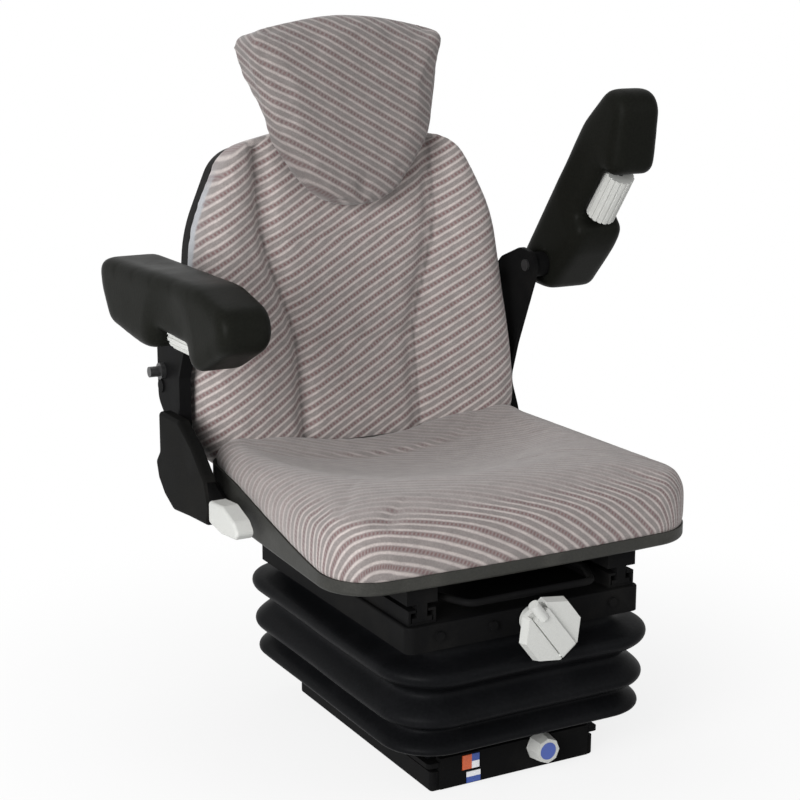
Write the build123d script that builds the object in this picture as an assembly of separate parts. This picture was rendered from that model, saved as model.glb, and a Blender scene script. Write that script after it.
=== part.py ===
"""Suspended tractor seat: base, scissor suspension, slide, seat, reclining back and armrests.

Millimetres, +Z up, front at -Y, sitter's left at +X, origin at the centre of the base's underside.
"""
import os
from math import asin, cos, pi, radians, sin, sqrt
from build123d import *

os.makedirs("parts", exist_ok=True)

# Clearances: pieces that stay together, and pieces that turn or slide
fit, running = 0.05, 0.4

# Scissor: both frames pivot at the rear and roll at the front
low_z, high_z, travel = 18, 203, 70
link_len, link_half, link_t, link_gap = 300, 12, 7, 5
roller_r, roller_t, stub_r, pivot_r, cross_r, brace_r, brace_share = 11, 6.5, 5, 7, 6, 8, 0.22
link_rise = asin((high_z - low_z) / link_len)
reach = sqrt(link_len ** 2 - (high_z - low_z - travel) ** 2)
pivot_y = reach / 2
roller_y = pivot_y - link_len * cos(link_rise)

# Base tray: as long as the scissor when it is down
base_w, base_floor, base_side, base_end, end_gap = 231, 4, 16.5, 13, 12.5
base_pocket_w, base_pocket_d = base_w - 2 * base_side, reach + 2 * (link_half + end_gap)
base_d = base_pocket_d + 2 * base_end
base_wall_z, base_neck_z, base_lip_z, apron_out, apron_z = 25, 31, 37, 4, 42
apron_y = -base_d / 2 - apron_out
mount_dx, mount_dy, mount_r = 150, 290, 5.5
outer_x = base_pocket_w / 2 - link_t - 8
inner_x = outer_x - link_t - link_gap

# Upper frame: a tray turned over the bellows
frame_over_w, frame_over_d, frame_h, sheet, roller_room = 45.5, 24.5, 32, 3, 3.5
frame_w, frame_d = base_w + 2 * frame_over_w, base_d + 2 * frame_over_d
frame_z1 = high_z + roller_r + roller_room + sheet
frame_z0 = frame_z1 - frame_h
lug_x, lug_t, lug_half = outer_x + link_t + 2, 4, 15

# Spring over damper on the centre line
damper_r, damper_z, damper_rod_r, spring_r, spring_wire = 18, 122, 6, 28, 4.5
preload_r, preload_z = 34, frame_z1 - 22.5

# Bellows: crests and valleys as (inset from the widest crest, share of the height), from the base up
bellows_over_w, bellows_over_d, bellows_wall, cuff_r = 68.5, 60, 2.5, 2.5
bellows_w, bellows_d = base_w + 2 * bellows_over_w, base_d + 2 * bellows_over_d
bellows_z0, bellows_z1 = base_lip_z + 0.5, frame_z0 + 9.5
cuff_inset, cuff_share, throat_inset, throat_share = 69, 0.078, 42, 0.919
crests, valleys = [(8, 0.209), (4, 0.452), (0, 0.782)], [(30, 0.33), (27, 0.613)]
bellows_r = cuff_r + cuff_inset + bellows_wall

# Knobs
height_knob_x, height_knob_z, height_knob_r, height_knob_t, height_disc_r = 33, 31, 18.5, 20, 10.9
knob_out, weight_knob_x, weight_knob_r, weight_knob_t, hub_r, spindle_r = 38.5, 3, 41, 12, 16, 5
weight_knob_y, weight_knob_z = -frame_d / 2 - knob_out, high_z + 3
groove_w, groove_out, crank_t, crank_slant, crank_hinge, crank_end, crank_pin_r = 24, 6, 9, 52, 31, -30, 2
crank_axis_out = groove_out + 0.5 + crank_t / 2

# Slide rails
rail_w, rail_h, rail_t, rail_slot, rail_inset = 36, 18, 3, 16, 23
rail_x, rail_len = frame_w / 2 - rail_inset, frame_d - 15
seat_z = frame_z1 + 41.5

# Seat: plan outline, rising rim and dished cushion
seat_front, seat_rear, seat_half_front, seat_half_rear = -206, 204, 250, 232
seat_front_r, seat_rear_r, seat_bow = 62, 28, 8
rim_z0, rim_wall, pan_floor, pan_inset = seat_z + 6, 7, 4, 30
rim_rise = [(-230, 17), (-103, 23), (34, 44), (150, 61), (240, 66)]
seat_top, seat_edge_r = rim_z0 + 90, 34
dish_y, dish_z, dish_r = 110, rim_z0 + 56, 660

# Recliner: hinge line, side plates, lever and slide release
hinge_y, hinge_z, hinge_r = seat_rear + 32, rim_z0 + 50, 8
upright_x, upright_t = seat_half_rear + 14, 6
plate_x, plate_t = upright_x - 8, 5
cover_x, cover_t, cover_wall = upright_x + 18, 15, 3
cover_corners = [
    ((14, 73), 6), ((14, 20), 6), ((28, 4), 8), ((20, -18), 12), ((0, -36), 18), ((-29, -49), 14),
    ((-80, -44), 40), ((-140, -40), 8), ((-148, -18), 10), ((-136, 16), 20), ((-96, 50), 40), ((-52, 74), 14),
]
lever_x, lever_t, lever_y, lever_z, lever_pin_r = cover_x + 4, 4, hinge_y - 68, hinge_z - 27, 5
lever_points = [(14, -1), (8, 10), (-8, 12), (-104, 14), (-104, 0), (-8, -10), (8, -10)]
grip_corners = [
    ((-82, -5), 5), ((-82, 23), 5), ((-122, 26), 12), ((-156, 15), 12), ((-169, 3), 6), ((-160, -6), 6),
    ((-118, -10), 16),
]
bow_x, bow_y, bow_z, bow_r, bow_pin_r = rail_x - 34, -60, seat_z - 21, 4.5, 3

# Back: leaning frame with its origin at the seat joint, X across, Y up the back, Z forward
lean, bolster, back_depth, back_edge_r, shell_depth, shell_wall = 8, 28, 40, 26, 50, 7
back = Plane(origin=(0, seat_rear + 10, rim_z0 + 54), x_dir=(1, 0, 0),
             z_dir=(0, -cos(radians(lean)), sin(radians(lean))))
back_half = upright_x - 8
back_corners = [
    ((0, -10), 450), ((back_half - 38, 38), 40), ((back_half, 68), 40), ((back_half - 1, 120), 300),
    ((back_half - 22, 300), 200), ((165, 404), 60), ((0, 441), 450),
]
shell_corners = [
    ((0, -6), 450), ((back_half - 42, 40), 36), ((back_half - 4, 70), 36), ((back_half - 5, 120), 300),
    ((back_half - 26, 300), 200), ((163, 402), 60), ((0, 438), 450),
]
tube_ups, tube_forward, tube_r = (100, 200), -76, 9

# Backrest extension: shield outline in the back's frame, wedge behind it, and its two posts
head_corners = [((48, 329), 100), ((112, 408), 90), ((143, 543), 14), ((0, 572), 255)]
head_front, head_gap, head_back, head_edge_r, wedge_up0, wedge_up1 = 50, 10, -20, 13, 445, 500
post_x, post_forward, post_r, post_low, post_high, sleeve_low, sleeve_high = 45, -12, 6, 316, 530, 292, 434

# Armrests: side outline from the pivot, forward and up, with a radius at each corner
arm_y, arm_z, raised = seat_rear - 6, rim_z0 + 280, 54
arm_x0, arm_w_rear, arm_w_nose, arm_edge_r = upright_x + 29, 76, 56, 9
arm_corners = [
    ((-50, 46), 12), ((215, 46), 70), ((284, 30), 26), ((292, 4), 20), ((282, -12), 22), ((214, -45), 14),
    ((200, -45), 11), ((192, -23), 4), ((104, -17), 4), ((100, -40), 11), ((60, -39), 40), ((-20, -26), 16),
    ((-42, 10), 16),
]
arm_pin_r, arm_hub_r = 8, 17
wheel_u0, wheel_u1, wheel_w, wheel_r, wheel_axle_r, wheel_grooves = 112, 184, -24, 20, 4, 16
wheel_x = arm_x0 + (arm_w_rear + arm_w_nose) / 4


def block(x0, x1, y0, y1, z0, z1):
    return Pos((x0 + x1) / 2, (y0 + y1) / 2, (z0 + z1) / 2) * Box(x1 - x0, y1 - y0, z1 - z0)


def rod_x(x0, x1, y, z, r):
    return Pos((x0 + x1) / 2, y, z) * Rot(0, 90, 0) * Cylinder(r, x1 - x0)


def rod_y(x, y0, y1, z, r):
    return Pos(x, (y0 + y1) / 2, z) * Rot(90, 0, 0) * Cylinder(r, y1 - y0)


def rod_z(x, y, z0, z1, r):
    return Pos(x, y, (z0 + z1) / 2) * Cylinder(r, z1 - z0)


def rod_up_back(x, up0, up1, forward, r):
    """Rod along the back's own upward direction."""
    return back * Pos(x, (up0 + up1) / 2, forward) * Rot(90, 0, 0) * Cylinder(r, up1 - up0)


def slab(w, d, r, z0, z1):
    return extrude(Plane.XY.offset(z0) * RectangleRounded(w, d, r), z1 - z0)


def side_plate(points, x0, x1):
    """Plate with an outline in (y, z), between two X positions."""
    return extrude(Plane.YZ.offset(x0) * make_face(Polyline(*points, close=True)), x1 - x0)


def moved(points, y, z):
    """Outline points that were given from a pivot."""
    return [(y + dy, z + dz) for dy, dz in points]


def rounded_face(corners):
    """Closed outline of straight runs with a radius at each corner."""
    face = make_face(Polyline(*[at for at, radius in corners], close=True))
    for (x, y), radius in corners:
        face = fillet(face.vertices().filter_by(lambda v: abs(v.X - x) + abs(v.Y - y) < 0.1), radius)
    return face


def both_halves(corners):
    """Right half of an outline with its mirror image."""
    return corners + [((-x, y), radius) for (x, y), radius in reversed(corners) if x]


def across(shape):
    """The same piece on the other side."""
    return mirror(shape, Plane.YZ)


def save(node, shape):
    solids = shape.solids()
    body = solids[0] if len(solids) == 1 else Compound(children=list(solids))
    body.label = node
    export_step(body, f"parts/{node}.step")


def back_point(up, forward):
    """Global (y, z) of a point in the back's own frame."""
    p = back.from_local_coords((0, up, forward))
    return p.Y, p.Z


# Base

def base_tray():
    tray = slab(base_w, base_d, 5, 0, base_wall_z)
    tray = fillet(tray.faces().sort_by(Axis.Z)[0].edges(), 3)
    tray += slab(base_w - 22, base_d - 10, 4, base_wall_z, base_neck_z)
    tray += slab(base_w + 10, base_d + 4, 5, base_neck_z, base_lip_z)
    collar_w, collar_d = (size - 2 * (cuff_inset + bellows_wall) for size in (bellows_w, bellows_d))
    tray += slab(collar_w, collar_d, cuff_r, base_lip_z, base_lip_z + 11)
    tray += block(11 - base_w / 2, base_w / 2 - 11, apron_y, apron_y + 12, base_floor - 1, apron_z)
    tray -= slab(base_pocket_w, base_pocket_d, 8, base_floor, base_lip_z + 30)
    for x in (-mount_dx / 2, mount_dx / 2):
        for y in (-mount_dy / 2, mount_dy / 2):
            tray -= rod_z(x, y, -1, base_floor + 1, mount_r)
    tray -= rod_x(8 - base_w / 2, base_w / 2 - 8, pivot_y, low_z, pivot_r + fit)
    return tray - rod_y(height_knob_x, apron_y - 10, 20 - base_pocket_d / 2, height_knob_z, spindle_r + running)


def lower_pivot_rod():
    return rod_x(8 - base_w / 2, base_w / 2 - 8, pivot_y, low_z, pivot_r)


def indicator_window():
    return block(-75, -52, apron_y - 1.5, apron_y, apron_z - 20, apron_z - 2)


def base_tag():
    return block(-69, -50, apron_y - 1, apron_y, base_floor, apron_z - 24)


def damper_body():
    tube = rod_z(0, 0, base_floor, damper_z, damper_r)
    return tube - rod_z(0, 0, base_floor + 16, damper_z + 8, damper_rod_r + 1)


def coil_spring():
    """Square wire in straight runs, so that the mesh stays small."""
    turns, per_turn = 7, 12
    z0, z1 = base_floor + 0.58 * spring_wire, preload_z - 0.67 * spring_wire
    n = turns * per_turn
    path = Polyline(*[
        (spring_r * cos(2 * pi * i / per_turn), spring_r * sin(2 * pi * i / per_turn), z0 + (z1 - z0) * i / n)
        for i in range(n + 1)
    ])
    wire = Plane(origin=path @ 0, z_dir=path % 0) * Rectangle(spring_wire, spring_wire)
    return sweep(wire, path, transition=Transition.RIGHT)


def fold_line(drawn_in):
    """Side line of the bellows from the base up: cuff, folds with round crests, throat."""
    def at(inset, share):
        return -inset - drawn_in, bellows_z0 + share * (bellows_z1 - bellows_z0)

    here = at(cuff_inset, cuff_share)
    edges = [Line(at(cuff_inset, 0), here)]
    for i, (inset, share) in enumerate(crests):
        low, high = at(inset + 7, share - 0.056), at(inset + 3, share + 0.044)
        edges += [Line(here, low), ThreePointArc(low, at(inset, share), high)]
        here = high
        if i < len(valleys):
            inset, share = valleys[i]
            low, high = at(inset, share - 0.012), at(inset, share + 0.012)
            edges += [Line(here, low), Line(low, high)]
            here = high
    throat = at(throat_inset, throat_share)
    return edges + [Line(here, throat), Line(throat, at(throat_inset, 1))]


def bellows():
    """Folded side line carried round a rounded rectangle."""
    path = (Plane.XY * RectangleRounded(bellows_w, bellows_d, bellows_r)).wire()
    along = path % 0
    section = Plane(origin=path @ 0, x_dir=along.cross(Vector(0, 0, 1)), z_dir=-along)
    outside, inside = fold_line(0), fold_line(bellows_wall)
    ends = [Line(outside[0] @ 0, inside[0] @ 0), Line(outside[-1] @ 1, inside[-1] @ 1)]
    return sweep(section * make_face(outside + inside + ends), path)


# Base knob

def height_knob():
    face_y = apron_y - 1 - height_knob_t
    face = Plane((height_knob_x, apron_y - 1, height_knob_z), z_dir=(0, -1, 0)) * RegularPolygon(height_knob_r, 8)
    knob = extrude(face, height_knob_t, taper=7)
    knob += rod_y(height_knob_x, apron_y - 1, 5 - base_pocket_d / 2, height_knob_z, spindle_r)
    return knob - rod_y(height_knob_x, face_y - 2, face_y + 1.5, height_knob_z, height_disc_r + fit)


def height_disc():
    face_y = apron_y - 1 - height_knob_t
    return rod_y(height_knob_x, face_y, face_y + 1.5, height_knob_z, height_disc_r)


# Scissor frames

def link(y0, z0, y1, z1, x0, x1):
    """Flat bar with round ends between two side-view points."""
    dy, dz = (y1 - y0) / link_len * link_half, (z1 - z0) / link_len * link_half
    bar = side_plate([(y0 - dz, z0 + dy), (y1 - dz, z1 + dy), (y1 + dz, z1 - dy), (y0 + dz, z0 - dy)], x0, x1)
    return bar + rod_x(x0, x1, y0, z0, link_half) + rod_x(x0, x1, y1, z1, link_half)


def on_link(y0, z0, y1, z1, share):
    return y0 + (y1 - y0) * share, z0 + (z1 - z0) * share


outer_ends = (pivot_y, low_z, roller_y, high_z)
inner_ends = (pivot_y, high_z, roller_y, low_z)
cross_y, cross_z = on_link(*outer_ends, 0.5)


def outer_scissor_frame():
    x0, x1 = outer_x, outer_x + link_t
    bar = link(*outer_ends, x0, x1) + rod_x(x0, x1 + roller_t + 1.5, roller_y, high_z, stub_r)
    bar -= rod_x(x0 - 1, x1 + 1, pivot_y, low_z, pivot_r + running)
    bar -= rod_x(x0 - 1, x1 + 1, cross_y, cross_z, cross_r + fit)
    return bar + across(bar) + rod_x(-x0 - 1, x0 + 1, *on_link(*outer_ends, brace_share), brace_r)


def inner_scissor_frame():
    """The centre hole leaves room for the bolt's small drift as the scissor folds."""
    x0, x1 = inner_x, inner_x + link_t
    bar = link(*inner_ends, x0, x1) + rod_x(x0 - roller_t - 2.5, x1, roller_y, low_z, stub_r)
    bar -= rod_x(x0 - 1, x1 + 1, pivot_y, high_z, pivot_r + running)
    bar -= rod_x(x0 - 1, x1 + 1, cross_y, cross_z, cross_r + 3)
    return bar + across(bar) + rod_x(-x0 - 1, x0 + 1, *on_link(*inner_ends, brace_share), brace_r)


def roller(x, z):
    return rod_x(x, x + roller_t, roller_y, z, roller_r) - rod_x(x - 1, x + roller_t + 1, roller_y, z, stub_r + fit)


def upper_roller():
    return roller(outer_x + link_t + 0.5, high_z)


def lower_roller():
    return roller(inner_x - roller_t - 0.5, low_z)


def centre_bolt():
    bolt = rod_x(inner_x - 3, outer_x + link_t + 2, cross_y, cross_z, cross_r)
    return bolt + rod_x(outer_x + link_t, outer_x + link_t + 4, cross_y, cross_z, cross_r + 3)


# Upper frame

def upper_frame():
    frame = slab(frame_w, frame_d, 10, frame_z0, frame_z1)
    frame = fillet(frame.faces().sort_by(Axis.Z)[-1].edges(), 2.5)
    frame -= slab(frame_w - 2 * sheet, frame_d - 2 * sheet, 8, frame_z0 - 1, frame_z1 - sheet)
    lug = block(lug_x, lug_x + lug_t, pivot_y - lug_half, pivot_y + lug_half, high_z - link_half, frame_z1 - sheet)
    lug -= rod_x(lug_x - 1, lug_x + lug_t + 1, pivot_y, high_z, pivot_r + fit)
    frame += lug
    frame += across(lug)
    return frame - rod_y(weight_knob_x, -frame_d / 2 - 10, sheet + 10 - frame_d / 2, weight_knob_z, spindle_r + 1)


def upper_pivot_rod():
    return rod_x(-lug_x - lug_t - 2, lug_x + lug_t + 2, pivot_y, high_z, pivot_r)


def damper_rod():
    low = damper_z - travel + 41
    return rod_z(0, 0, low, preload_z + 2, damper_rod_r) + rod_z(0, 0, preload_z + 2, frame_z1 - sheet, 14)


def preload_housing():
    return rod_z(0, 0, preload_z, frame_z1 - sheet, preload_r) - rod_z(0, 0, preload_z - 8, frame_z1, 14.5)


def frame_bolt(x):
    return rod_y(x, -frame_d / 2 - 4, -frame_d / 2, weight_knob_z, 5.5)


def lower_rail():
    """Lipped channel, open at the top for the sliding rail."""
    x, h, ends = rail_x, rail_w / 2, rail_len
    rail = block(x - h, x + h, -rail_len / 2, rail_len / 2, frame_z1, frame_z1 + rail_h)
    rail -= block(x - h + rail_t, x + h - rail_t, -ends, ends, frame_z1 + rail_t, frame_z1 + rail_h - rail_t)
    return rail - block(x - rail_slot / 2, x + rail_slot / 2, -ends, ends, frame_z1 + rail_t, frame_z1 + rail_h + 1)


# Weight knob and fold-out crank

def knob_plane(out):
    """Plane parallel to the knob's face, with X along the crank bar and down to the right."""
    slant = radians(crank_slant)
    return Plane((weight_knob_x, weight_knob_y - out, weight_knob_z), x_dir=(cos(slant), 0, -sin(slant)), z_dir=(0, -1, 0))


def crank_barrel(r, length):
    """Round bar on the crank's hinge line."""
    return knob_plane(crank_axis_out) * Pos(crank_hinge, 0, 0) * Rot(90, 0, 0) * Cylinder(r, length)


def weight_knob():
    knob = extrude(knob_plane(0) * (Rot(0, 0, 22.5) * RegularPolygon(weight_knob_r, 8)), weight_knob_t, taper=12)
    knob += rod_y(weight_knob_x, weight_knob_y, -frame_d / 2 - 2, weight_knob_z, hub_r)
    knob -= extrude(knob_plane(groove_out) * Rectangle(3 * weight_knob_r, groove_w), 2 * weight_knob_t)
    knob += crank_barrel(crank_pin_r, groove_w + 2)
    return knob - rod_y(weight_knob_x, weight_knob_y, -frame_d / 2, weight_knob_z, spindle_r + fit)


def weight_spindle():
    return rod_y(weight_knob_x, weight_knob_y, -preload_r - 1, weight_knob_z, spindle_r)


def knob_crank():
    w = groove_w - 2
    middle = (crank_end + crank_hinge) / 2
    bar = extrude(knob_plane(groove_out + 0.5) * Pos(middle, 0) * Rectangle(crank_hinge - crank_end, w), crank_t)
    bar += crank_barrel(crank_t / 2, w)
    bar += knob_plane(crank_axis_out + 2) * Pos(crank_end - 6, 0, 0) * Rot(0, 90, 0) * Cylinder(6.5, 24)
    return bar - crank_barrel(crank_pin_r + running, 2 * w)


# Seat carriage

def upper_rail():
    """T-section that runs in the lower rail's slot."""
    x, end = rail_x, rail_len / 2
    rail = block(x - 13, x + 13, -end, end, frame_z1 + rail_t + running / 2, frame_z1 + rail_t + 5.5)
    rail += block(x - rail_slot / 2 + 1.5, x + rail_slot / 2 - 1.5, -end, end, frame_z1 + rail_t + 5, seat_z - 10)
    return rail + block(x - 20, x + 20, -end, end, seat_z - 17, seat_z)


def seat_plan(grow=0.0):
    """Plan outline of the seat, bowed at the front and narrower at the rear."""
    f, r, a, b = seat_front - grow, seat_rear + grow, seat_half_front + grow, seat_half_rear + grow
    outline = make_face([ThreePointArc((-a, f), (0, f - seat_bow), (a, f)), Polyline((a, f), (b, r), (-b, r), (-a, f))])
    outline = fillet(outline.vertices().filter_by(lambda v: v.Y < 0), seat_front_r + grow)
    return fillet(outline.vertices().filter_by(lambda v: v.Y > r - 5), max(seat_rear_r + grow, 8))


def above_rim(lift):
    """Everything over the rising rim line."""
    pts = [(y, rim_z0 + rise + lift) for y, rise in rim_rise]
    (y0, z0), (y1, z1) = pts[0], pts[-1]
    top = seat_top + 100
    face = make_face([Spline(*pts), Polyline((y1, z1), (y1, top), (y0, top), (y0, z0))])
    return extrude(Plane.YZ.offset(-seat_half_front - 50) * face, 2 * seat_half_front + 100)


def seat_pan():
    band = extrude(Plane.XY.offset(rim_z0) * seat_plan(), 75)
    band = fillet(band.faces().sort_by(Axis.Z)[0].edges(), 5)
    band -= above_rim(0)
    band -= extrude(Plane.XY.offset(rim_z0 + pan_floor) * seat_plan(-rim_wall), 90)
    return band + extrude(Plane.XY.offset(seat_z) * seat_plan(-pan_inset), rim_z0 + 1 - seat_z)


def seat_cushion():
    """Foam pad that fills the pan and stands over the rim, dished at the rear."""
    bottom = rim_z0 + pan_floor
    pad = extrude(Plane.XY.offset(bottom) * seat_plan(), seat_top - bottom)
    pad = fillet(pad.faces().sort_by(Axis.Z)[-1].edges(), seat_edge_r)
    pad -= Pos(0, dish_y, dish_z + dish_r) * Sphere(dish_r)
    core = extrude(Plane.XY.offset(bottom) * seat_plan(-rim_wall - running), seat_top - bottom)
    return (pad & above_rim(running)) + (pad & core)


def recliner_plate():
    """Side plate that stands on a foot under the pan's rim."""
    foot = rim_z0 - 4
    pts = moved([(18, -22), (26, 0), (18, 16), (0, 22), (-22, 18), (-86, -6), (-132, -28)], hinge_y, hinge_z)
    plate = side_plate([(hinge_y - 132, foot), (hinge_y - 21, foot), *pts], plate_x, plate_x + plate_t)
    plate += block(plate_x - pan_inset + 2, plate_x + 1, hinge_y - 126, hinge_y - 46, foot, rim_z0)
    return plate - rod_x(plate_x - 1, plate_x + plate_t + 1, hinge_y, hinge_z, hinge_r + fit)


def recliner_pin(x1):
    x0 = plate_x - 8
    return rod_x(x0, x1, hinge_y, hinge_z, hinge_r) + rod_x(x0, plate_x, hinge_y, hinge_z, hinge_r + 5)


def pin_head():
    x = upright_x + upright_t + 1
    return rod_x(x, x + 4, hinge_y, hinge_z, 2 * hinge_r)


def recliner_cover():
    """Moulded cover over the right recliner, open at the front for the lever."""
    x0, x1 = -cover_x - cover_t, -cover_x
    outline = Pos(hinge_y, hinge_z) * rounded_face(cover_corners)
    cover = extrude(Plane.YZ.offset(x0) * outline, cover_t)
    cover = fillet(cover.faces().sort_by(Axis.X)[0].edges(), 5)
    cover -= extrude(Plane.YZ.offset(x0 + cover_wall) * offset(outline, -cover_wall - 0.5), cover_t)
    cover -= block(x0 + cover_wall, x1 + 1, hinge_y - 160, hinge_y - 128, hinge_z - 36, hinge_z + 14)
    return cover + rod_x(x0 + 2, -cover_x - 6, hinge_y, hinge_z, hinge_r + 6)


def slide_release_bow():
    front = seat_front - 3
    path = FilletPolyline((-bow_x, bow_y, bow_z), (-bow_x, front + 44, bow_z), (20 - bow_x, front, bow_z),
                          (bow_x - 20, front, bow_z), (bow_x, front + 44, bow_z), (bow_x, bow_y, bow_z), radius=16)
    bow = sweep(Plane(origin=path @ 0, z_dir=path % 0) * Circle(bow_r), path)
    bore = rod_x(bow_x - 6, bow_x + 6, bow_y, bow_z, bow_pin_r + running)
    eye = rod_x(bow_x - 4, bow_x + 4, bow_y, bow_z, bow_pin_r + 5) - bore
    return bow - bore - across(bore) + eye + across(eye)


def bow_pin():
    """Pin on a lug that hangs from the pan's floor."""
    pin = rod_x(bow_x - 5, bow_x + 14, bow_y, bow_z, bow_pin_r)
    return pin + block(bow_x + 6, bow_x + 14, bow_y - 6, bow_y + 6, bow_z - 5, seat_z)


def recline_lever():
    plate = side_plate(moved(lever_points, lever_y, lever_z), -lever_x - lever_t, -lever_x)
    return plate - rod_x(-lever_x - lever_t - 1, 1 - lever_x, lever_y, lever_z, lever_pin_r + running)


def lever_pin():
    return rod_x(cover_wall - cover_x - cover_t, 2 - lever_x, lever_y, lever_z, lever_pin_r)


def recline_grip():
    """Moulded grip, slotted over the lever's front end."""
    middle = -lever_x - lever_t / 2
    grip = extrude(Plane.YZ.offset(middle - 11) * (Pos(lever_y, lever_z) * rounded_face(grip_corners)), 22)
    grip = fillet(grip.faces().sort_by(Axis.X)[0].edges(), 4)
    slot_y, h = lever_y - 104 - fit, lever_t / 2 + fit
    return grip - block(middle - h, middle + h, slot_y, slot_y + 40, lever_z - 12, lever_z + 20)


# Back

def back_face(corners, grow=0.0):
    face = rounded_face(both_halves(corners))
    return offset(face, grow) if grow else face


def sleeve_hole(r):
    hole = rod_up_back(post_x, sleeve_low - 2, sleeve_high + 16, post_forward, r)
    return hole + across(hole)


def back_cushion():
    """Foam pad with a round front edge, hollowed between its side bolsters."""
    pad = extrude(back.offset(-back_depth) * back_face(back_corners), back_depth + bolster)
    pad = fillet(pad.faces().sort_by(Axis.Y)[0].edges(), back_edge_r)
    hollow_r = (back_half - 33) ** 2 / 2 / bolster
    pad -= back * Pos(0, 200, hollow_r) * Rot(90 - 1.5, 0, 0) * Cylinder(hollow_r, 700)
    return pad - sleeve_hole(tube_r + fit)


def shell_form(steps, inset):
    """Loft through the shell's outline at (depth, growth) steps."""
    return loft([back.offset(-back_depth - d) * back_face(shell_corners, g - inset) for d, g in steps], ruled=True)


def back_shell():
    """Moulded shell that closes the back of the foam."""
    steps = [(0, 0), (0.6 * shell_depth, -3), (0.88 * shell_depth, -10), (shell_depth, -20)]
    shell = shell_form(steps, 0) - shell_form([(-1, 0), *steps[1:3]], shell_wall)
    for up in tube_ups:
        shell -= rod_x(-back_half, back_half, *back_point(up, tube_forward), tube_r + fit)
    return shell


def back_tube(up):
    return rod_x(-upright_x - 8, upright_x + 8, *back_point(up, tube_forward), tube_r)


def back_upright():
    """Side plate from the recliner pin up to the armrest pivot."""
    x0, x1 = upright_x, upright_x + upright_t
    low = moved([(-24, 0), (-14, -22), (14, -22), (26, 0), (36, 34), (80, 74), (80, 182)], hinge_y, hinge_z)
    high = moved([(64, 4), (16, 23), (-14, 19), (-23, 0), (-16, -22)], arm_y, arm_z)
    front = moved([(-14, 116), (4, 62), (-14, 27)], hinge_y, hinge_z)
    radii = [20, 12, 12, 20, 30, 24, 24, 24, 20, 16, 14, 20, 60, 30, 20]
    plate = extrude(Plane.YZ.offset(x0) * rounded_face(list(zip(low + high + front, radii))), upright_t)
    plate -= rod_x(x0 - 1, x1 + 1, hinge_y, hinge_z, hinge_r + running)
    plate -= rod_x(x0 - 1, x1 + 1, arm_y, arm_z, arm_pin_r + fit)
    for up in tube_ups:
        plate -= rod_x(x0 - 1, x1 + 1, *back_point(up, tube_forward), tube_r + fit)
    return plate


def tilt_flange():
    """Bent strip on the right upright beside the armrest's tilt stop."""
    strip = moved([(-19, 56), (-14, 56), (-14, 122), (-32, 160), (-37, 158), (-19, 120)], hinge_y, hinge_z)
    web = moved([(-15, 56), (8, 56), (-6, 107), (-15, 122)], hinge_y, hinge_z)
    return side_plate(strip, upright_x, upright_x + 16) + side_plate(web, upright_x, upright_x + upright_t)


def arm_pin():
    return rod_x(upright_x - 3, arm_x0 + 14, arm_y, arm_z, arm_pin_r)


def stop_bolt():
    """Tilt stop that stands out from the right upright."""
    x, y, z = upright_x + upright_t, hinge_y + 60, hinge_z + 114
    return rod_x(x, x + 20, y, z, 7) + rod_x(x, x + 6, y, z, 11)


def post_sleeve():
    tube = rod_up_back(post_x, sleeve_low, sleeve_high, post_forward, tube_r)
    return tube - rod_up_back(post_x, sleeve_low - 1, sleeve_high + 1, post_forward, post_r + running)


# Backrest extension

def headrest_cushion():
    """Shield-shaped pad with a wedge behind its upper part that takes the posts."""
    outline = rounded_face(both_halves(head_corners))
    pad = extrude(back.offset(head_gap) * outline, head_front - head_gap)
    pad = fillet(pad.faces().sort_by(Axis.Y)[0].edges(), head_edge_r)
    wedge = extrude(back.offset(head_back) * outline, head_gap - head_back)
    below = [(wedge_up0 - 200, head_gap), (wedge_up0, head_gap), (wedge_up1, head_back - 1), (wedge_up0 - 200, head_back - 1)]
    wedge -= side_plate([back_point(up, forward) for up, forward in below], -200, 200)
    hole = rod_up_back(post_x, wedge_up0 - 40, post_high + 1, post_forward, post_r + fit)
    return pad + wedge - hole - across(hole)


def headrest_post():
    return rod_up_back(post_x, post_low, post_high, post_forward, post_r)


# Armrests, modelled level and on the left; the left one is then turned up

def arm_pad():
    """Moulded foam pad, narrower at the nose, with a notch under it for the tilt wheel."""
    outline = rounded_face([((arm_y - u, arm_z + w), radius) for (u, w), radius in arm_corners])
    pad = extrude(Plane.YZ.offset(arm_x0) * outline, arm_w_rear)
    nose_y, rear_y = arm_y - max(u for (u, w), radius in arm_corners), arm_y - arm_corners[0][0][0]
    plan = [(arm_x0, rear_y), (arm_x0 + arm_w_rear, rear_y), (arm_x0 + arm_w_nose, nose_y), (arm_x0, nose_y)]
    pad &= extrude(make_face(Polyline(*plan, close=True)), 2 * arm_z)
    sides = pad.faces().sort_by(Axis.X)
    pad = fillet(sides[-1].edges() + sides[0].edges(), arm_edge_r)
    y0, y1, z = arm_y - wheel_u1, arm_y - wheel_u0, arm_z + wheel_w
    pad -= rod_y(wheel_x, y0 - 3, y1 + 3, z, wheel_r + 1.5)
    pad -= rod_y(wheel_x, y0 - 9, y1 + 9, z, wheel_axle_r + fit)
    return pad - rod_x(arm_x0 - 1, arm_x0 + 22, arm_y, arm_z, arm_hub_r + fit)


def arm_hub():
    hub = rod_x(upright_x + upright_t + 1, arm_x0 + 22, arm_y, arm_z, arm_hub_r)
    return hub - rod_x(upright_x, arm_x0 + 16, arm_y, arm_z, arm_pin_r + running)


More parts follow.
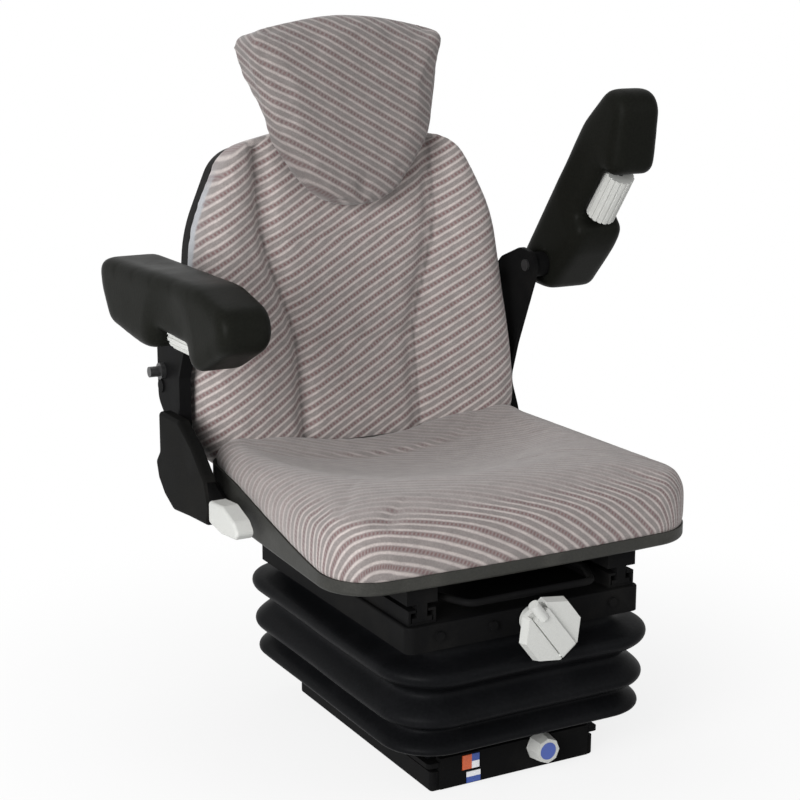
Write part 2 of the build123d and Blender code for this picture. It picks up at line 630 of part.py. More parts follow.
def arm_wheel():
    """Knurled tilt wheel."""
    y0, y1, z = arm_y - wheel_u1, arm_y - wheel_u0, arm_z + wheel_w
    wheel = rod_y(wheel_x, y0, y1, z, wheel_r)
    for i in range(wheel_grooves):
        a = 2 * pi * i / wheel_grooves
        wheel -= rod_y(wheel_x + wheel_r * cos(a), y0 - 1, y1 + 1, z + wheel_r * sin(a), 1.6)
    return wheel - rod_y(wheel_x, y0 - 1, y1 + 1, z, wheel_axle_r + running)


def wheel_axle():
    return rod_y(wheel_x, arm_y - wheel_u1 - 9, arm_y - wheel_u0 + 9, arm_z + wheel_w, wheel_axle_r)


def turned_up(shape):
    return shape.rotate(Axis((0, arm_y, arm_z), (-1, 0, 0)), raised)


# Write every node

for node, make in [
    ("base_tray", base_tray), ("lower_pivot_rod", lower_pivot_rod), ("indicator_window", indicator_window),
    ("base_tag", base_tag), ("damper_body", damper_body), ("coil_spring", coil_spring), ("bellows", bellows),
    ("height_knob", height_knob), ("height_disc", height_disc),
    ("outer_scissor_frame", outer_scissor_frame), ("inner_scissor_frame", inner_scissor_frame),
    ("upper_frame", upper_frame), ("upper_pivot_rod", upper_pivot_rod), ("damper_rod", damper_rod),
    ("preload_housing", preload_housing), ("weight_knob", weight_knob), ("weight_spindle", weight_spindle),
    ("knob_crank", knob_crank), ("seat_pan", seat_pan), ("seat_cushion", seat_cushion),
    ("recliner_cover", recliner_cover), ("slide_release_bow", slide_release_bow),
    ("recline_lever", recline_lever), ("lever_pin", lever_pin), ("recline_grip", recline_grip),
    ("back_cushion", back_cushion), ("back_shell", back_shell), ("back_upright_left", back_upright),
    ("headrest_cushion", headrest_cushion),
]:
    save(node, make())

for node, make in [
    ("lower_rail", lower_rail), ("upper_rail", upper_rail), ("recliner_plate", recliner_plate), ("arm_pin", arm_pin),
]:
    piece = make()
    save(f"{node}_left", piece)
    save(f"{node}_right", across(piece))

for node, make in [
    ("upper_rollers", upper_roller), ("lower_rollers", lower_roller), ("centre_bolts", centre_bolt),
    ("bow_pins", bow_pin), ("post_sleeves", post_sleeve), ("headrest_posts", headrest_post),
]:
    piece = make()
    save(node, piece + across(piece))

save("back_upright_right", across(back_upright() + tilt_flange()))
save("stop_bolt", across(stop_bolt()))
save("recliner_pins", recliner_pin(upright_x + 11) + pin_head() + across(recliner_pin(cover_x + 6)))
save("frame_bolts", frame_bolt(-48) + frame_bolt(-120) + frame_bolt(120))
for node, up in zip(("back_tube_lower", "back_tube_upper"), tube_ups):
    save(node, back_tube(up))

for node, make in [("arm_pad", arm_pad), ("arm_hub", arm_hub), ("arm_wheel", arm_wheel), ("wheel_axle", wheel_axle)]:
    piece = make()
    save(f"{node}_left", turned_up(piece))
    save(f"{node}_right", across(piece))
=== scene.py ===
"""Looks of the suspended tractor seat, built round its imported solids."""
from math import cos, pi, radians, sin

import bmesh
import bpy
from mathutils import Matrix, Vector, noise


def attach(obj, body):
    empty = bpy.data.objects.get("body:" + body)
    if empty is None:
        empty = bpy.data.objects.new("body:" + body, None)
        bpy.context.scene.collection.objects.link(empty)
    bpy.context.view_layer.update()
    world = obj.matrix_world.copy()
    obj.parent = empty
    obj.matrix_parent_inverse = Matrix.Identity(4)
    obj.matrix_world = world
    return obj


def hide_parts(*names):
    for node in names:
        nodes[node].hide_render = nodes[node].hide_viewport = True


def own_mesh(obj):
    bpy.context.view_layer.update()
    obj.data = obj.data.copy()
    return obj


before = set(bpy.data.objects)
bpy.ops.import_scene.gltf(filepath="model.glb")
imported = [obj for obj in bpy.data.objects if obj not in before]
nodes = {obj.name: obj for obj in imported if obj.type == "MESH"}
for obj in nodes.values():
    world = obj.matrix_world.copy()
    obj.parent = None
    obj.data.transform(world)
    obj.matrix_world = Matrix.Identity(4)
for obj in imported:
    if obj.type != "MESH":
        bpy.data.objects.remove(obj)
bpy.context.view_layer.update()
scene = bpy.context.scene


# Base tray, suspension frame and rails: folded and welded steel, painted satin black.
# The paint is a little uneven, and pale dust lies on it in patches.

def add(tree, kind, inputs=None, **settings):
    """New shader node; an input is a plain value or another node's socket."""
    made = tree.nodes.new("ShaderNode" + kind)
    for name, value in settings.items():
        setattr(made, name, value)
    for key, value in (inputs or {}).items():
        if isinstance(value, bpy.types.NodeSocket):
            tree.links.new(value, made.inputs[key])
        else:
            made.inputs[key].default_value = value
    return made


def new_group(name, inputs, outputs):
    """Empty shader group; returns it with its inner input and output sockets."""
    group = bpy.data.node_groups.new(name, "ShaderNodeTree")
    for socket, kind in inputs.items():
        group.interface.new_socket(socket, in_out="INPUT", socket_type="NodeSocket" + kind)
    for socket, kind in outputs.items():
        group.interface.new_socket(socket, in_out="OUTPUT", socket_type="NodeSocket" + kind)
    start, end = group.nodes.new("NodeGroupInput"), group.nodes.new("NodeGroupOutput")
    return group, start.outputs, end.inputs


finish_group, given, result = new_group(
    "uneven finish",
    {"Color": "Color", "Dust": "Color", "Dust share": "Float", "Roughness": "Float", "Grain size": "Float"},
    {"Color": "Color", "Roughness": "Float", "Height": "Float"},
)
place = add(finish_group, "TexCoord").outputs["Object"]
patches = add(finish_group, "TexNoise", {"Vector": place, "Scale": 11.0, "Detail": 6.0, "Roughness": 0.62})
grain = add(finish_group, "TexNoise", {"Vector": place, "Scale": given["Grain size"], "Detail": 2.0})
dusty = add(finish_group, "MapRange", {"Value": patches.outputs["Fac"], "From Min": 0.5, "From Max": 0.78,
                                       "To Max": given["Dust share"]})
speck = add(finish_group, "MapRange", {"Value": grain.outputs["Fac"], "From Min": 0.3, "From Max": 0.7,
                                       "To Min": 0.86, "To Max": 1.14})
tone = add(finish_group, "Mix", {0: dusty.outputs["Result"], 6: given["Color"], 7: given["Dust"]},
           data_type="RGBA")
speckled = add(finish_group, "HueSaturation", {"Color": tone.outputs[2], "Value": speck.outputs["Result"]})
rough_shift = add(finish_group, "MapRange", {"Value": patches.outputs["Fac"], "From Min": 0.3,
                                             "From Max": 0.7, "To Min": -0.06, "To Max": 0.1})
rough = add(finish_group, "Math", {0: given["Roughness"], 1: rough_shift.outputs["Result"]}, operation="ADD")
finish_group.links.new(speckled.outputs["Color"], result["Color"])
finish_group.links.new(rough.outputs["Value"], result["Roughness"])
finish_group.links.new(grain.outputs["Fac"], result["Height"])


def finish(name, color, roughness, dust=(0.16, 0.15, 0.13), dust_share=0.1, grain_size=900.0, bump=0.12,
           **shader):
    """Material of one colour with the uneven finish; shader holds the Principled's own plain values."""
    material = bpy.data.materials.new(name)
    material.use_nodes = True
    tree = material.node_tree
    surface = tree.nodes["Principled BSDF"]
    uneven = add(tree, "Group", {"Color": (*color, 1), "Dust": (*dust, 1), "Dust share": dust_share,
                                 "Roughness": roughness, "Grain size": grain_size}, node_tree=finish_group)
    rise = add(tree, "Bump", {"Height": uneven.outputs["Height"], "Strength": bump, "Distance": 0.0006})
    tree.links.new(uneven.outputs["Color"], surface.inputs["Base Color"])
    tree.links.new(uneven.outputs["Roughness"], surface.inputs["Roughness"])
    tree.links.new(rise.outputs["Normal"], surface.inputs["Normal"])
    for socket, value in shader.items():
        surface.inputs[socket.replace("_", " ")].default_value = value
    return material


def paint(material, *names):
    """Gives CAD nodes a finish."""
    for name in names:
        nodes[name].data.materials.clear()
        nodes[name].data.materials.append(material)


def new_piece(name, bm, material, smooth=True):
    """Object from a bmesh, with its material."""
    mesh = bpy.data.meshes.new(name)
    bm.to_mesh(mesh)
    bm.free()
    mesh.materials.append(material)
    for face in mesh.polygons:
        face.use_smooth = smooth
    made = bpy.data.objects.new(name, mesh)
    scene.collection.objects.link(made)
    return made


black_paint = finish("black paint", (0.006, 0.006, 0.0062), 0.42, dust_share=0.04, Specular_IOR_Level=0.012)
paint(black_paint, "base_tray", "upper_frame", "lower_rail_left", "lower_rail_right", "upper_rail_left",
      "upper_rail_right", "outer_scissor_frame", "inner_scissor_frame", "preload_housing", "damper_body",
      "recliner_plate_left", "recliner_plate_right", "back_upright_left", "back_upright_right",
      "back_tube_lower", "back_tube_upper", "slide_release_bow", "recline_lever", "bow_pins", "arm_hub_left",
      "arm_hub_right", "frame_bolts")


# Pins, bolts and posts: turned steel, plated or blackened, a little dull from handling.
# They run in the painted plates, and the extension's posts slide in their sleeves.

plated = finish("dark plated steel", (0.09, 0.09, 0.092), 0.38, dust_share=0.2, Metallic=0.85)
paint(plated, "lower_pivot_rod", "upper_pivot_rod", "damper_rod", "centre_bolts", "weight_spindle",
      "recliner_pins", "lever_pin", "arm_pin_left", "arm_pin_right", "stop_bolt", "post_sleeves",
      "headrest_posts", "wheel_axle_left", "wheel_axle_right")


# Main spring: round steel wire wound in seven turns round the damper.
# It stands on the tray's floor and carries the preload housing. The real spring shortens with the travel;
# this coil is fixed to the base and keeps its length.

coil_r, wire_r, coil_z, coil_rise, turns, per_turn = 0.028, 0.0023, 0.0066, 0.1884, 7, 28
steps = turns * per_turn
bm = bmesh.new()
start = Matrix.Translation((coil_r, 0, coil_z)) @ Matrix.Rotation(pi / 2, 4, "X")
wire = bmesh.ops.create_circle(bm, segments=10, radius=wire_r, matrix=start)["verts"]
bmesh.ops.spin(bm, geom=wire + bm.edges[:], cent=(0, 0, 0), axis=(0, 0, 1), angle=2 * pi * turns, steps=steps,
               dvec=Vector((0, 0, coil_rise / steps)))
bmesh.ops.edgeloop_fill(bm, edges=[edge for edge in bm.edges if edge.is_boundary])
bmesh.ops.recalc_face_normals(bm, faces=bm.faces)
spring = new_piece("main_spring", bm, plated)
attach(spring, "base")
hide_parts("coil_spring")
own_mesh(spring)


# Base knob, its disc, and the two coloured fields on the apron: moulded plastic.
# The fields are plain blocks of colour: orange, blue and white over white and blue.

pale_plastic = finish("pale plastic", (0.5, 0.505, 0.485), 0.5, dust=(0.3, 0.28, 0.25), dust_share=0.12,
                      grain_size=2500.0)
paint(pale_plastic, "height_knob", "weight_knob", "knob_crank", "recline_grip", "arm_wheel_left",
      "arm_wheel_right")
paint(finish("blue plastic", (0.05, 0.09, 0.34), 0.3), "height_disc")


def fields(name, colors, split_x, split_z):
    """Material with one colour at the left, one above and one below at the right."""
    material = finish(name, colors[0], 0.3)
    tree = material.node_tree
    uneven = next(node for node in tree.nodes if node.type == "GROUP")
    at = add(tree, "SeparateXYZ", {0: add(tree, "TexCoord").outputs["Object"]})
    right = add(tree, "Math", {0: at.outputs["X"], 1: split_x}, operation="GREATER_THAN")
    above = add(tree, "Math", {0: at.outputs["Z"], 1: split_z}, operation="GREATER_THAN")
    side = add(tree, "Mix", {0: above.outputs[0], 6: (*colors[2], 1), 7: (*colors[1], 1)}, data_type="RGBA")
    whole = add(tree, "Mix", {0: right.outputs[0], 6: (*colors[0], 1), 7: side.outputs[2]}, data_type="RGBA")
    tree.links.new(whole.outputs[2], uneven.inputs["Color"])
    return material


orange, blue, white = (0.55, 0.1, 0.03), (0.03, 0.07, 0.3), (0.75, 0.75, 0.77)
paint(fields("indicator fields", [orange, blue, white], -0.0625, 0.031), "indicator_window")
paint(fields("tag fields", [white, white, blue], -0.2, 0.0115), "base_tag")


# Bellows: one moulded rubber sleeve with three round folds between base and upper frame.
# It is widest at the top fold and draws in to the base.

rubber = finish("black rubber", (0.0045, 0.0047, 0.0053), 0.42, dust=(0.02, 0.02, 0.022), dust_share=0.2,
                grain_size=260.0, bump=0.25, Specular_IOR_Level=0.03)
half_w, half_d, corner_r = 0.184, 0.236, 0.074
fold_points = [
    (69, 37.5), (69, 48), (67, 56), (61, 60.5), (50, 62.5), (36, 63.5), (22, 64.5), (13.5, 66.5), (9.2, 69),
    (8, 72), (9, 75.5), (12.5, 79), (20, 83), (28, 87), (30.5, 90.5), (28, 94), (18, 98), (9.5, 101.5),
    (5.2, 106), (4, 110.5), (5, 114.5), (8.5, 118.5), (16, 125), (24, 131), (27.5, 136), (25, 141),
    (15, 147.5), (6, 153), (1.2, 158), (0, 163), (1.2, 167.5), (6, 171.5), (20, 173), (34, 175), (41.5, 179),
    (43, 190), (43, 198),
]
bm = bmesh.new()
corner = Vector((half_w - corner_r, half_d - corner_r, 0))
chain = [bm.verts.new((corner.x + corner_r - inset / 1000, corner.y, z / 1000)) for inset, z in fold_points]
ring = chain + [bm.edges.new(pair) for pair in zip(chain, chain[1:])]
for turn in range(4):
    ring = bmesh.ops.spin(bm, geom=ring, cent=corner, axis=(0, 0, 1), angle=pi / 2, steps=14)["geom_last"]
    next_corner = Vector((-corner.x, corner.y, 0)) if turn % 2 == 0 else Vector((corner.x, -corner.y, 0))
    step = (next_corner - corner) / 6
    for part in range(6):
        edges = [e for e in ring if isinstance(e, bmesh.types.BMEdge)]
        made = bmesh.ops.extrude_edge_only(bm, edges=edges)["geom"]
        far = {v for v in made if isinstance(v, bmesh.types.BMVert)}
        bmesh.ops.translate(bm, vec=step, verts=list(far))
        ring = list(far) + [e for e in made if isinstance(e, bmesh.types.BMEdge) and far.issuperset(e.verts)]
    corner = next_corner
bmesh.ops.remove_doubles(bm, verts=bm.verts, dist=1e-5)
bmesh.ops.recalc_face_normals(bm, faces=bm.faces)
for v in bm.verts:
    if 0.06 < v.co.z < 0.18:
        sway = noise.noise(v.co * 7.0) * 0.0022
        outward = Vector((v.co.x, v.co.y, 0)).normalized()
        v.co += outward * (sway - 0.0012) + Vector((0, 0, noise.noise(v.co * 9.0) * 0.0012))
bellows = new_piece("bellows_sleeve", bm, rubber)
thick = bellows.modifiers.new("wall", "SOLIDIFY")
thick.thickness = 0.002
thick.offset = -1
round_off = bellows.modifiers.new("round", "SUBSURF")
round_off.levels = round_off.render_levels = 1
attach(bellows, "base")
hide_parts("bellows")
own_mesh(bellows)


# Rollers, seat pan rim, recliner cover and back shell: moulded plastic with a fine grain.
# The pan's rim is dark grey and dusty, and the rest is black.

dark_plastic = finish("dark plastic", (0.028, 0.028, 0.025), 0.48, dust=(0.12, 0.115, 0.1), dust_share=0.22,
                      grain_size=420.0, bump=0.3, Specular_IOR_Level=0.15)
paint(dark_plastic, "seat_pan")
black_plastic = finish("black plastic", (0.006, 0.006, 0.0057), 0.45, dust_share=0.04, grain_size=420.0,
                       bump=0.3, Specular_IOR_Level=0.012)
paint(black_plastic, "recliner_cover", "back_shell", "upper_rollers", "lower_rollers")


# Striped fabric: a woven cloth with thin pale lines 9 mm apart on bands that are grey and dark red in turn.
# Its threads run in metres along and across the lines, in the map named cloth.

stripe_pitch, dash_pitch, twill_pitch, wander_by = 0.009, 0.0052, 0.0016, 0.0007
grey_band, red_band, red_dash = (0.205, 0.182, 0.175, 1), (0.205, 0.17, 0.164, 1), (0.15, 0.09, 0.09, 1)
pale_line, dull_cloth, gusset_cloth = (0.415, 0.368, 0.352, 1), (0.27, 0.24, 0.231, 1), (0.34, 0.35, 0.37, 1)
weave_group, given, result = new_group(
    "striped weave",
    {"Cloth": "Vector", "Painted light level": "Float", "Seam": "Float", "Gusset": "Float", "Rubbed": "Float"},
    {"Color": "Color", "Height": "Float"},
)


def reckon(operation, first, second=0.0):
    """Output of a math node in the weave."""
    return add(weave_group, "Math", {0: first, 1: second}, operation=operation).outputs[0]


def span(value, start, stop, low=0.0, high=1.0, kind="LINEAR"):
    """Output of a range node in the weave."""
    return add(weave_group, "MapRange", {"Value": value, "From Min": start, "From Max": stop, "To Min": low,
                                         "To Max": high}, interpolation_type=kind).outputs["Result"]


def mixed(share, first, second):
    """Output of a colour mix in the weave."""
    return add(weave_group, "Mix", {0: share, 6: first, 7: second}, data_type="RGBA").outputs[2]


def flecks(scale, detail):
    """Output of a noise in the weave."""
    place = add(weave_group, "TexCoord").outputs["Object"]
    return add(weave_group, "TexNoise", {"Vector": place, "Scale": scale, "Detail": detail}).outputs["Fac"]


thread = add(weave_group, "SeparateXYZ", {0: given["Cloth"]}).outputs
across_lines = reckon("ADD", thread["Y"], span(flecks(45.0, 3.0), 0.0, 1.0, -wander_by, wander_by))
count = reckon("DIVIDE", across_lines, stripe_pitch)
from_line = reckon("PINGPONG", count, 0.5)
line = span(from_line, 0.05, 0.27, 1.0, 0.0, "SMOOTHSTEP")
red_row = reckon("FLOORED_MODULO", reckon("FLOOR", count), 2.0)
dash = reckon("PINGPONG", reckon("DIVIDE", thread["X"], dash_pitch), 0.5)
dashes = reckon("MULTIPLY", span(dash, 0.05, 0.4, kind="SMOOTHSTEP"),
                span(from_line, 0.2, 0.4, kind="SMOOTHSTEP"))
twill = reckon("PINGPONG", reckon("DIVIDE", reckon("ADD", across_lines, thread["X"]), twill_pitch), 0.5)
bands = mixed(reckon("MULTIPLY", dashes, red_row), mixed(red_row, grey_band, red_band), red_dash)
worn_cloth = mixed(given["Rubbed"], mixed(line, bands, pale_line), dull_cloth)
# The level scales the whole cloth: painted light on the back, painted shade on the seat and headrest.
tone = given["Painted light level"]
# The twill and two noises vary the tone. Within 5 mm of a seam the cloth is darkened to half: painted shade
# in the seam grooves.
for part in (span(twill, 0.0, 0.5, 0.82, 1.12), span(flecks(520.0, 2.0), 0.3, 0.7, 0.86, 1.14),
             span(flecks(55.0, 5.0), 0.3, 0.7, 0.9, 1.1),
             span(given["Seam"], 0.0, 0.005, 0.5, 1.0, "SMOOTHSTEP")):
    tone = reckon("MULTIPLY", tone, part)
cloth_color = mixed(given["Gusset"], worn_cloth, gusset_cloth)
woven = add(weave_group, "HueSaturation", {"Color": cloth_color, "Value": tone})
weave_group.links.new(woven.outputs["Color"], result["Color"])
weave_group.links.new(reckon("ADD", line, twill), result["Height"])


def striped_fabric(name, painted_light_level):
    """Cloth material; the painted light level makes the whole cloth lighter or darker: painted light and
    shade, one level for each pad.
    """
    material = bpy.data.materials.new(name)
    material.use_nodes = True
    tree = material.node_tree
    surface = tree.nodes["Principled BSDF"]
    laid = {"Cloth": add(tree, "UVMap", uv_map="cloth").outputs["UV"], "Painted light level": painted_light_level}
    for place in ("Seam", "Gusset", "Rubbed"):
        laid[place] = add(tree, "Attribute", attribute_name=place.lower()).outputs["Fac"]
    weave = add(tree, "Group", laid, node_tree=weave_group)
    rise = add(tree, "Bump", {"Height": weave.outputs["Height"], "Strength": 0.35, "Distance": 0.0007})
    tree.links.new(weave.outputs["Color"], surface.inputs["Base Color"])
    tree.links.new(rise.outputs["Normal"], surface.inputs["Normal"])
    surface.inputs["Roughness"].default_value = 0.88
    surface.inputs["Sheen Weight"].default_value = 0.25
    surface.inputs["Sheen Roughness"].default_value = 0.5
    return material


def settle(piece):
    """Makes the modifiers' result the piece's own mesh."""
    shape = bpy.data.meshes.new_from_object(piece.evaluated_get(bpy.context.evaluated_depsgraph_get()))
    piece.modifiers.clear()
    piece.data = shape


def soft_copy(name, node, voxel, smoothing, material):
    """Even mesh in the shape of a CAD pad."""
    bm = bmesh.new()
    bm.from_mesh(nodes[node].data)
    bm.transform(nodes[node].matrix_world)
    bmesh.ops.remove_doubles(bm, verts=bm.verts, dist=1e-5)
    pad = new_piece(name, bm, material)
    even = pad.modifiers.new("even", "REMESH")
    even.mode = "VOXEL"
    even.voxel_size = voxel
    soften = pad.modifiers.new("soften", "SMOOTH")
    soften.factor = 0.5
    soften.iterations = smoothing
    settle(pad)
    for face in pad.data.polygons:
        face.use_smooth = True
    return pad


def puff(pad, held, limit):
    """Presses the cover out from inside against the parts that hold it, by no more than the limit."""
    rest = [v.co.copy() for v in pad.data.vertices]
    group = pad.vertex_groups.new(name="held")
    for v in pad.data.vertices:
        group.add([v.index], held(v.co), "REPLACE")
    cloth = pad.modifiers.new("cloth", "CLOTH")
    cloth.settings.vertex_group_mass = "held"
    cloth.settings.use_pressure = True
    cloth.settings.uniform_pressure_force = 4.0
    cloth.settings.effector_weights.gravity = 0.0
    cloth.settings.quality = 4
    for number in range(1, 21):
        scene.frame_set(number)
    settle(pad)
    scene.frame_set(1)
    for v, start in zip(pad.data.vertices, rest):
        shift = v.co - start
        if shift.length > limit:
            v.co = start + shift * (limit / shift.length)
    pad.vertex_groups.clear()


def ramp(value, low, high):
    """Smooth step from 0 at low to 1 at high."""
    t = min(max((value - low) / (high - low), 0.0), 1.0)
    return t * t * (3 - 2 * t)


def dress(pad, seam_distance, depth, width, cloth_map, gusset, rubbed):
    """Draws the seams in, and lays the cloth's map, seams, gusset and rubbed places on the pad."""
    mesh = pad.data
    gaps = [seam_distance(v.co, v.normal) for v in mesh.vertices]
    normals = [v.normal.copy() for v in mesh.vertices]
    seam = mesh.attributes.new("seam", "FLOAT", "POINT")
    plain = mesh.attributes.new("gusset", "FLOAT", "POINT")
    dull = mesh.attributes.new("rubbed", "FLOAT", "POINT")
    for v, gap, normal in zip(mesh.vertices, gaps, normals):
        seam.data[v.index].value = gap
        plain.data[v.index].value = gusset(v.co)
        dull.data[v.index].value = rubbed(v.co, normal)
    places = [cloth_map(v.co) for v in mesh.vertices]
    for v, gap, normal in zip(mesh.vertices, gaps, normals):
        v.co -= normal * depth * 2.718 ** -((gap / width) ** 2)
    lay = mesh.uv_layers.new(name="cloth")
    for loop in mesh.loops:
        lay.data[loop.index].uv = places[loop.vertex_index]
    finer = pad.modifiers.new("finer", "SUBSURF")
    finer.levels = finer.render_levels = 1


def cover(pad, body, node):
    """Puts a finished pad in place of its CAD node."""
    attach(pad, body)
    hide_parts(node)


# Seat cushion: a deep pad with a rolled front edge, hollow where the sitter sits.
# Its stripes run from the left rear to the right front and turn down over the edges.

# The seat's cloth is painted a little darker: painted shade.
seat = soft_copy("seat_pad", "seat_cushion", 0.006, 10, striped_fabric("seat fabric", 0.97))


def seat_held(co):
    """The skirt in the pan and the underside stay; the top is free."""
    return 1.0 - ramp(co.z, 0.318 + 0.1 * (co.y + 0.2), 0.345 + 0.02 * (co.y + 0.2))


def seat_cloth(co):
    """Along and across the stripes, which bend to the right front and roll over the edges."""
    out = Vector((max(abs(co.x) - 0.18, 0.0), max(-co.y - 0.14, 0.0)))
    drop = max(0.352 - co.z, 0.0) / max(out.length, 1e-6)
    x, y = co.x + (out.x if co.x > 0 else -out.x) * drop, co.y - out.y * drop
    bent = min(max(x, -0.26), 0.26)
    return 0.89 * x - 0.45 * y, 0.8 * (y + 0.62 * x + 0.95 * bent * (2 * x - bent))


def seat_rubbed(co, normal):
    """The cloth is rubbed dull on the top and along the sides."""
    on_top = 0.72 * ramp(normal.z, 0.8, 0.96)
    return max(on_top, 0.55 * ramp(abs(co.x), 0.19, 0.225) * ramp(co.y, -0.13, -0.02))


for v in seat.data.vertices:
    rear = ramp(v.co.y, 0.15, 0.2) * ramp(v.co.z, 0.3, 0.325)
    v.co += Vector((0, 0.012 * (1 - ramp(abs(v.co.x), 0.14, 0.2)), 0.006)) * rear
puff(seat, seat_held, 0.006)
dress(seat, lambda co, normal: 1.0, 0.0, 0.01, seat_cloth, lambda co: 0.0, seat_rubbed)
cover(seat, "seat", "seat_cushion")


# Back cushion: two side bolsters and a middle panel with two cross creases.
# A plain grey gusset closes its edge towards the shell.

lean = radians(8)
back_foot, back_up = Vector((0, 0.214, 0.322)), Vector((0, sin(lean), cos(lean)))
back_front = Vector((0, -cos(lean), sin(lean)))


def on_back(co):
    """Across, up and forward in the back's own frame."""
    local = co - back_foot
    return co.x, local.dot(back_up), local.dot(back_front)


def flare(up):
    """How far the side seams stand from the middle."""
    return 0.085 + 0.042 * ramp(up, 0.12, 0.31)


def back_seams(co, normal):
    """Distance to the nearest seam of the front: two that flare upwards, and two cross creases."""
    across, up, forward = on_back(co)
    if normal.dot(back_front) < 0.2:
        return 1.0
    gap = abs(abs(across) - flare(up))
    if abs(across) < flare(up):
        gap = min(gap, abs(up - 0.139) + 0.005, abs(up - 0.278) + 0.005)
    return gap


def back_held(co):
    """The rear, the gusset and the seams stay."""
    across, up, forward = on_back(co)
    held = max(ramp(-forward, 0.0, 0.03), ramp(-up, -0.03, 0.005))
    return max(held, 0.9 * (1 - ramp(abs(abs(across) - flare(up)), 0.004, 0.014)))


def back_cloth(co):
    across, up, forward = on_back(co)
    drop = 0.4 * max(0.02 - forward, 0.0) * ramp(abs(across), 0.17, 0.225)
    x = across + (drop if across > 0 else -drop)
    slant = Vector((1.0, 0.56)).normalized()
    return x * slant.x + up * slant.y, -x * slant.y + up * slant.x


def back_gusset(co):
    across, up, forward = on_back(co)
    return ramp(-forward, 0.010, 0.014) * ramp(up, 0.12, 0.2) * (1 - ramp(up, 0.34, 0.39))


# The back's cloth is painted 15% lighter: painted light.
rest_pad = soft_copy("back_pad", "back_cushion", 0.006, 8, striped_fabric("back fabric", 1.15))
for v in rest_pad.data.vertices:
    across, up, forward = on_back(v.co)
    out = min(max((abs(across) - flare(up)) / (0.232 - flare(up)), 0.0), 1.0)
    crest = 0.009 * sin(pi * out) * ramp(forward, -0.02, 0.01)
    low = (0.018 + 0.034 * ramp(abs(across), 0.13, 0.215)) * (1 - ramp(up, 0.03, 0.16))
    v.co += back_front * crest - back_up * low
puff(rest_pad, back_held, 0.008)
dress(rest_pad, back_seams, 0.009, 0.012, back_cloth, back_gusset, lambda co, normal: 0.0)
cover(rest_pad, "backrest", "back_cushion")


# Backrest extension: a shield-shaped pad on two posts, foam in the same striped cloth.
# Its stripes fall to the right, against those of the back.

def head_held(co):
    across, up, forward = on_back(co)
    return ramp(-forward, -0.03, 0.0)


def head_cloth(co):
    across, up, forward = on_back(co)
    drop = max(0.04 - forward, 0.0)
    x = across + drop * (ramp(across, 0.08, 0.13) - ramp(-across, 0.08, 0.13))
    slant = Vector((1.0, -0.58)).normalized()
    return x * slant.x + up * slant.y, -x * slant.y + up * slant.x


# The headrest's cloth is painted about a quarter darker: painted shade.
head = soft_copy("headrest_pad", "headrest_cushion", 0.005, 6, striped_fabric("headrest fabric", 0.74))
for v in head.data.vertices:
    v.co -= back_up * 0.01 * (1 - ramp(on_back(v.co)[1], 0.34, 0.45))
puff(head, head_held, 0.006)
dress(head, lambda co, normal: 1.0, 0.0, 0.01, head_cloth, lambda co: 0.0, lambda co, normal: 0.1)
cover(head, "headrest", "headrest_cushion")


# Armrests: moulded foam with a soft black skin, round at the nose.
# Each is hollow underneath, behind the nose, for its tilt wheel.

arm_skin = finish("arm skin", (0.0075, 0.0078, 0.0064), 0.36, dust=(0.016, 0.016, 0.014), dust_share=0.12,
                  grain_size=340.0, bump=0.2, Specular_IOR_Level=0.025)
for side in ("right", "left"):
    arm = soft_copy(f"arm_cushion_{side}", f"arm_pad_{side}", 0.003, 34, arm_skin)
    wheel = nodes[f"arm_wheel_{side}"]
    hub = wheel.matrix_world @ (sum((Vector(c) for c in wheel.bound_box), Vector()) / 8)
    swell = [v.normal * 0.0045 * ramp((v.co - hub).length, 0.04, 0.08) for v in arm.data.vertices]
    for v, out in zip(arm.data.vertices, swell):
        v.co += out
    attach(arm, f"{side}_armrest")
    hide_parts(f"arm_pad_{side}")


# Stage: pale floor that runs out into a white surround, soft light from the front left,
# and the camera at the photograph's angle.

floor_paint = bpy.data.materials.new("white floor")
floor_paint.use_nodes = True
tree = floor_paint.node_tree
tree.nodes.clear()
grain = add(tree, "TexNoise", {"Vector": add(tree, "TexCoord").outputs["Object"], "Scale": 3.0})
tint = add(tree, "MapRange", {"Value": grain.outputs["Fac"], "To Min": 0.84, "To Max": 0.88})
matt = add(tree, "BsdfDiffuse", {"Color": tint.outputs["Result"]})
glow = add(tree, "Emission", {"Strength": 1.0})


def seen_rays(tree):
    """1 for what the camera, a gloss or a clear part sees directly, 0 for the light itself."""
    path = add(tree, "LightPath").outputs
    gloss = add(tree, "Math", {0: path["Is Camera Ray"], 1: path["Is Glossy Ray"]}, operation="MAXIMUM")
    seen = add(tree, "Math", {0: gloss.outputs[0], 1: path["Is Transmission Ray"]}, operation="MAXIMUM")
    return seen.outputs[0]


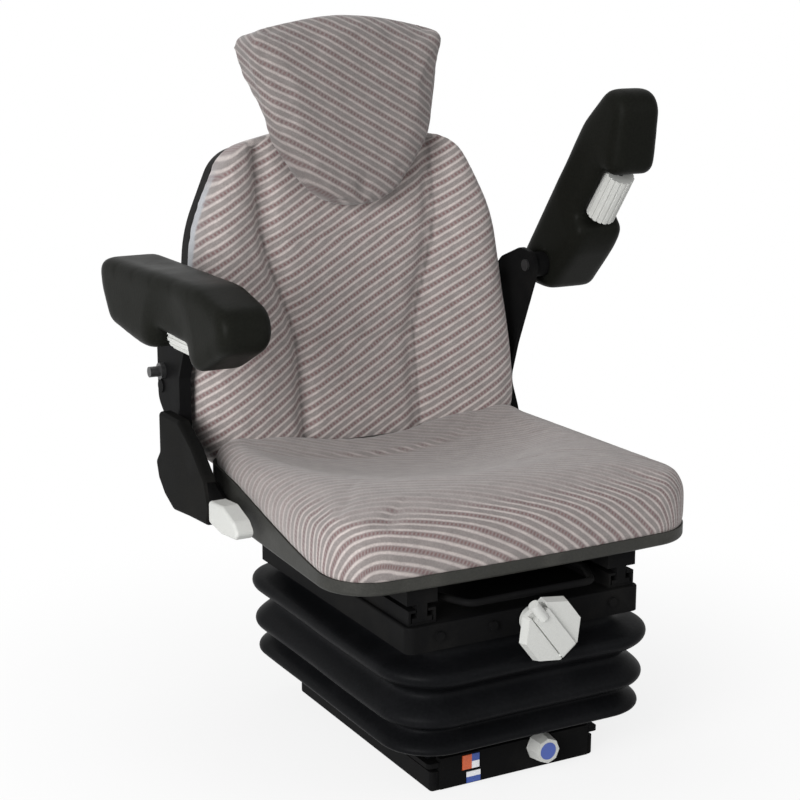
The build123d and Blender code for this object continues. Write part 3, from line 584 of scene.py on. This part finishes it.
away = add(tree, "VectorMath", {0: add(tree, "TexCoord").outputs["Object"]}, operation="LENGTH")
white_share = add(tree, "MapRange", {"Value": away.outputs["Value"], "From Min": 0.25, "From Max": 0.9,
                                     "To Min": 0.82, "To Max": 1.0}, interpolation_type="SMOOTHSTEP")
share = add(tree, "Math", {0: seen_rays(tree), 1: white_share.outputs["Result"]}, operation="MULTIPLY")
both = add(tree, "MixShader", {0: share.outputs[0], 1: matt.outputs[0], 2: glow.outputs[0]})
ending = tree.nodes.new("ShaderNodeOutputMaterial")
tree.links.new(both.outputs[0], ending.inputs["Surface"])
bm = bmesh.new()
bmesh.ops.create_grid(bm, x_segments=1, y_segments=1, size=14.0)
floor = new_piece("floor", bm, floor_paint, smooth=False)

world = bpy.data.worlds.new("white surround")
scene.world = world
world.use_nodes = True
tree = world.node_tree
backdrop = tree.nodes["Background"]
level = add(tree, "MapRange", {"Value": seen_rays(tree), "To Min": 0.42, "To Max": 1.0})
tree.links.new(level.outputs["Result"], backdrop.inputs["Strength"])
backdrop.inputs["Color"].default_value = (1, 1, 1, 1)


def lamp(name, place, aim, size, power):
    """Square soft light that faces a point."""
    light = bpy.data.lights.new(name, "AREA")
    light.size = size
    light.energy = power
    holder = bpy.data.objects.new(name, light)
    holder.location = place
    holder.rotation_euler = (Vector(aim) - Vector(place)).to_track_quat("-Z", "Y").to_euler()
    scene.collection.objects.link(holder)


lamp("key", (-2.4, -1.5, 1.1), (0, 0, 0.4), 1.6, 88)
lamp("fill", (2.0, -2.2, 1.4), (0, 0, 0.4), 1.8, 11)
lamp("top", (0.2, 0.9, 2.8), (0, 0, 0.5), 1.5, 14)

lens = bpy.data.cameras.new("photo camera")
lens.sensor_width = 36.0
lens.lens = 81.93
camera = bpy.data.objects.new("photo camera", lens)
turn, pitch, roll = radians(-28.9), radians(13.5), radians(0.16)
behind = Vector((sin(turn) * cos(pitch), -cos(turn) * cos(pitch), sin(pitch)))
level = Vector((cos(turn), sin(turn), 0))
right = level * cos(roll) + behind.cross(level) * sin(roll)
camera.matrix_world = Matrix((right, behind.cross(right), behind)).transposed().to_4x4()
camera.location = (-1.10567, -1.89213, 0.9523)
scene.collection.objects.link(camera)
scene.camera = camera
scene.view_settings.view_transform = "Standard"
